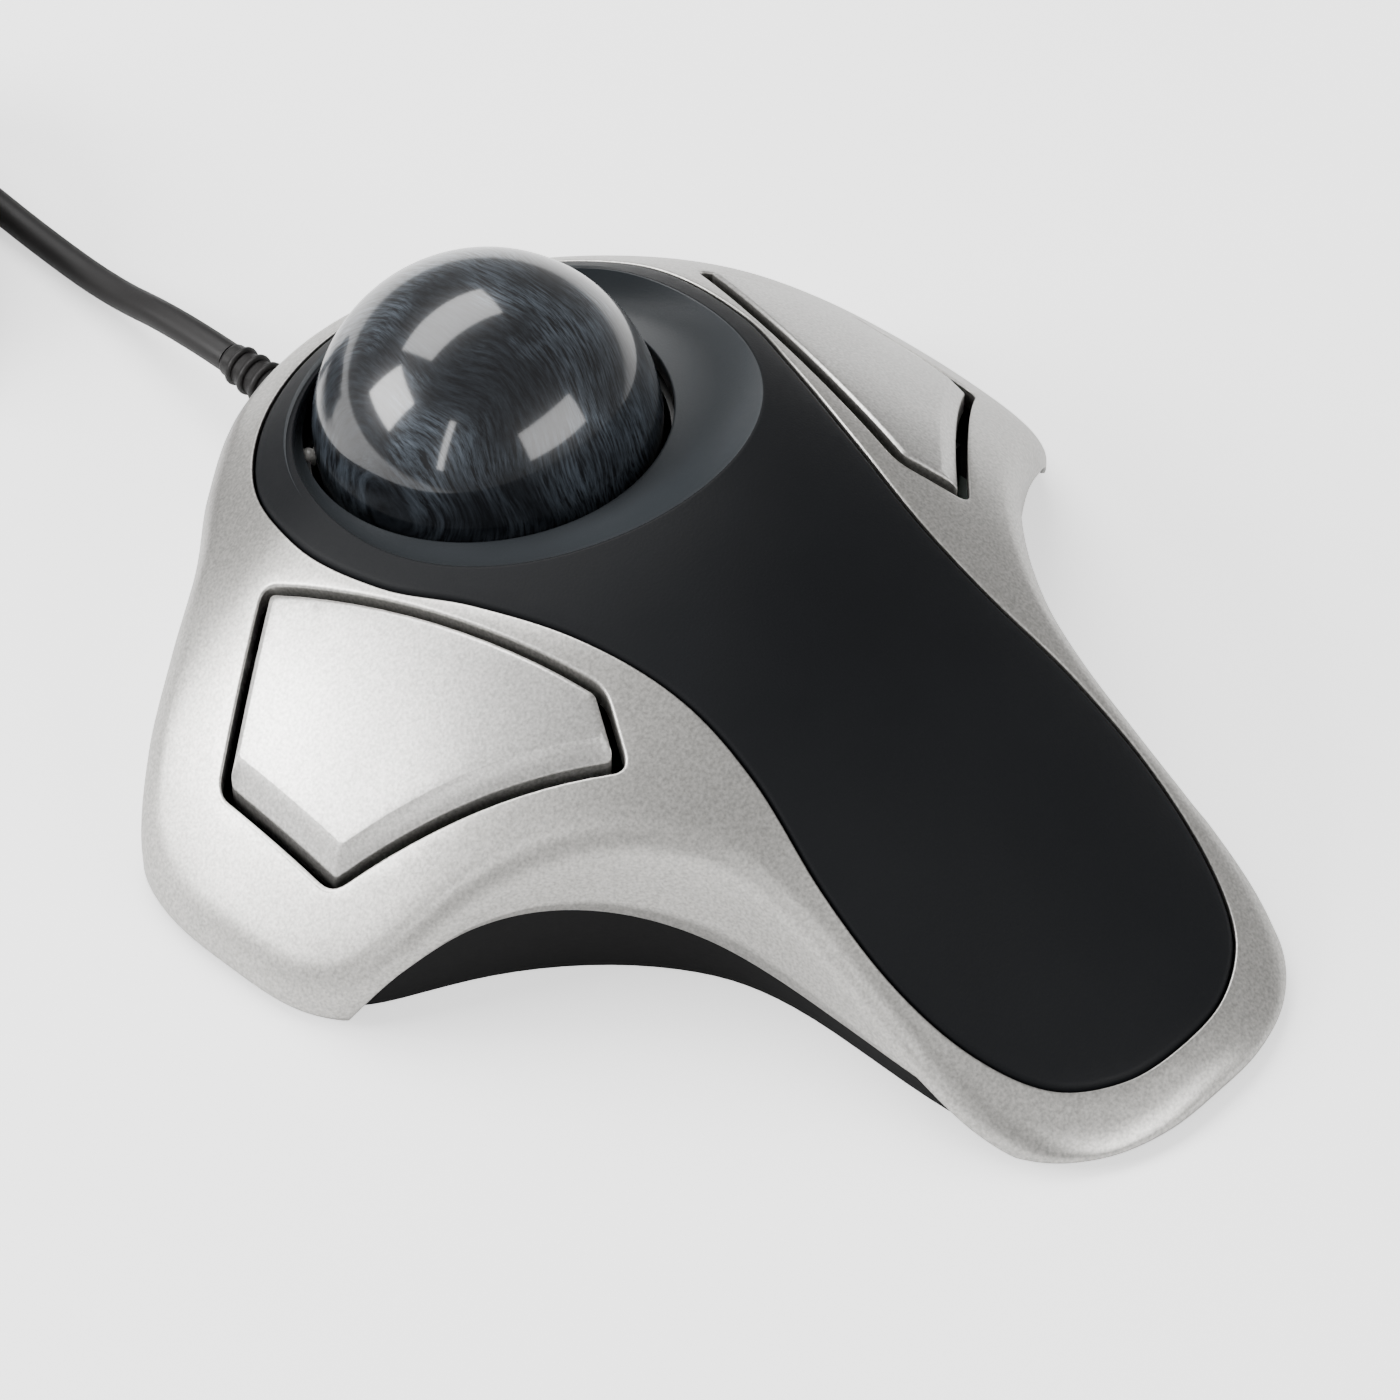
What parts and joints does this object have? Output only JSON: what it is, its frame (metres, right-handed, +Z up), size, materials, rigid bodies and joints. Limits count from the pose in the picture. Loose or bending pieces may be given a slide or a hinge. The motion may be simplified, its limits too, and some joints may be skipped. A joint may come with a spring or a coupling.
{
  "type": "trackball mouse",
  "caption": "Desktop trackball with a large pearl ball in a soft black palm panel, sloped silver wings with rocking buttons, and a coiled USB cord.",
  "frame": {"origin": "on the desk, under the middle of the housing's bounding box, the cord not counted", "axes": "+X to the user's right, +Y away from the user towards the cord's exit, +Z up"},
  "size_m": [0.1224, 0.2446, 0.0476],
  "materials": {
    "silver_shell": "silver metallic paint, satin",
    "silver_button": "silver metallic paint, satin",
    "soft_panel": "soft-touch coating",
    "black_base": "fine spark texture",
    "foot_rubber": "matte",
    "screw_steel": "zinc plated",
    "ball_clear": "polished clear coat",
    "ball_pearl": "streaked blue-grey pearl",
    "cup_black": "smooth",
    "bearing_white": "polished ceramic",
    "board_green": "solder mask",
    "chip_black": "moulded",
    "bright_metal": "nickel plated",
    "nylon_white": "moulded",
    "lens_clear": "clear",
    "cord_black": "matte PVC",
    "tie_black": "nylon",
    "plug_black": "moulded PVC"
  },
  "bodies": {
    "housing": {"top_shell": "silver_shell", "center_panel": "soft_panel", "base_plate": "black_base", "left_foot": "foot_rubber", "right_foot": "foot_rubber", "far_foot": "foot_rubber", "palm_foot": "foot_rubber", "case_screws": "screw_steel", "board_screws": "screw_steel", "ball_cup": "cup_black", "bearing_balls": "bearing_white", "main_board": "board_green", "controller_chip": "chip_black", "crystal": "bright_metal", "capacitor": "chip_black", "board_connector": "nylon_white", "sensor_lens": "lens_clear", "sensor_chip": "chip_black", "sensor_board": "board_green", "sensor_led": "lens_clear", "left_hinge_pin": "screw_steel", "right_hinge_pin": "screw_steel", "left_switch_body": "chip_black", "right_switch_body": "chip_black", "strain_relief": "cord_black", "cord_lead": "cord_black", "cord_coil": "cord_black", "cord_tail": "cord_black", "cable_tie": "tie_black", "plug_body": "plug_black", "plug_shell": "bright_metal", "plug_tongue": "nylon_white"},
    "ball_outer": {"ball_coat": "ball_clear"},
    "ball_inner": {"ball_core": "ball_pearl"},
    "left_button": {"left_button": "silver_button"},
    "right_button": {"right_button": "silver_button"},
    "left_plunger": {"left_switch_plunger": "nylon_white"},
    "right_plunger": {"right_switch_plunger": "nylon_white"}
  },
  "joints": [
    {"name": "ball_roll_x", "type": "hinge", "parent": "housing", "child": "ball_outer", "pos_m": [0, 0.04, 0.0276], "axis": [1, 0, 0], "continuous": true},
    {"name": "ball_roll_y", "type": "hinge", "parent": "ball_outer", "child": "ball_inner", "pos_m": [0, 0.04, 0.0276], "axis": [0, 1, 0], "continuous": true},
    {"name": "left_button_press", "type": "hinge", "parent": "housing", "child": "left_button", "pos_m": [-0.0394, 0.0436, 0.01815], "axis": [0.2309, -0.9696, 0.0812], "range_deg": [0, 1.4], "stiffness_Nm_per_rad": 0.6, "springref_deg": -1.15},
    {"name": "left_plunger_travel", "type": "slide", "parent": "housing", "child": "left_plunger", "axis": [0, 0, -1], "range_m": [0, 0.00045]},
    {"name": "right_button_press", "type": "hinge", "parent": "housing", "child": "right_button", "pos_m": [0.0394, 0.0436, 0.01815], "axis": [0.2309, 0.9696, -0.0812], "range_deg": [0, 1.4], "stiffness_Nm_per_rad": 0.6, "springref_deg": -1.15},
    {"name": "right_plunger_travel", "type": "slide", "parent": "housing", "child": "right_plunger", "axis": [0, 0, -1], "range_m": [0, 0.00045]}
  ],
  "couplings": [
    {"joint": "left_plunger_travel", "follows": "left_button_press", "m_per_rad": 0.0125},
    {"joint": "right_plunger_travel", "follows": "right_button_press", "m_per_rad": 0.0125}
  ]
}
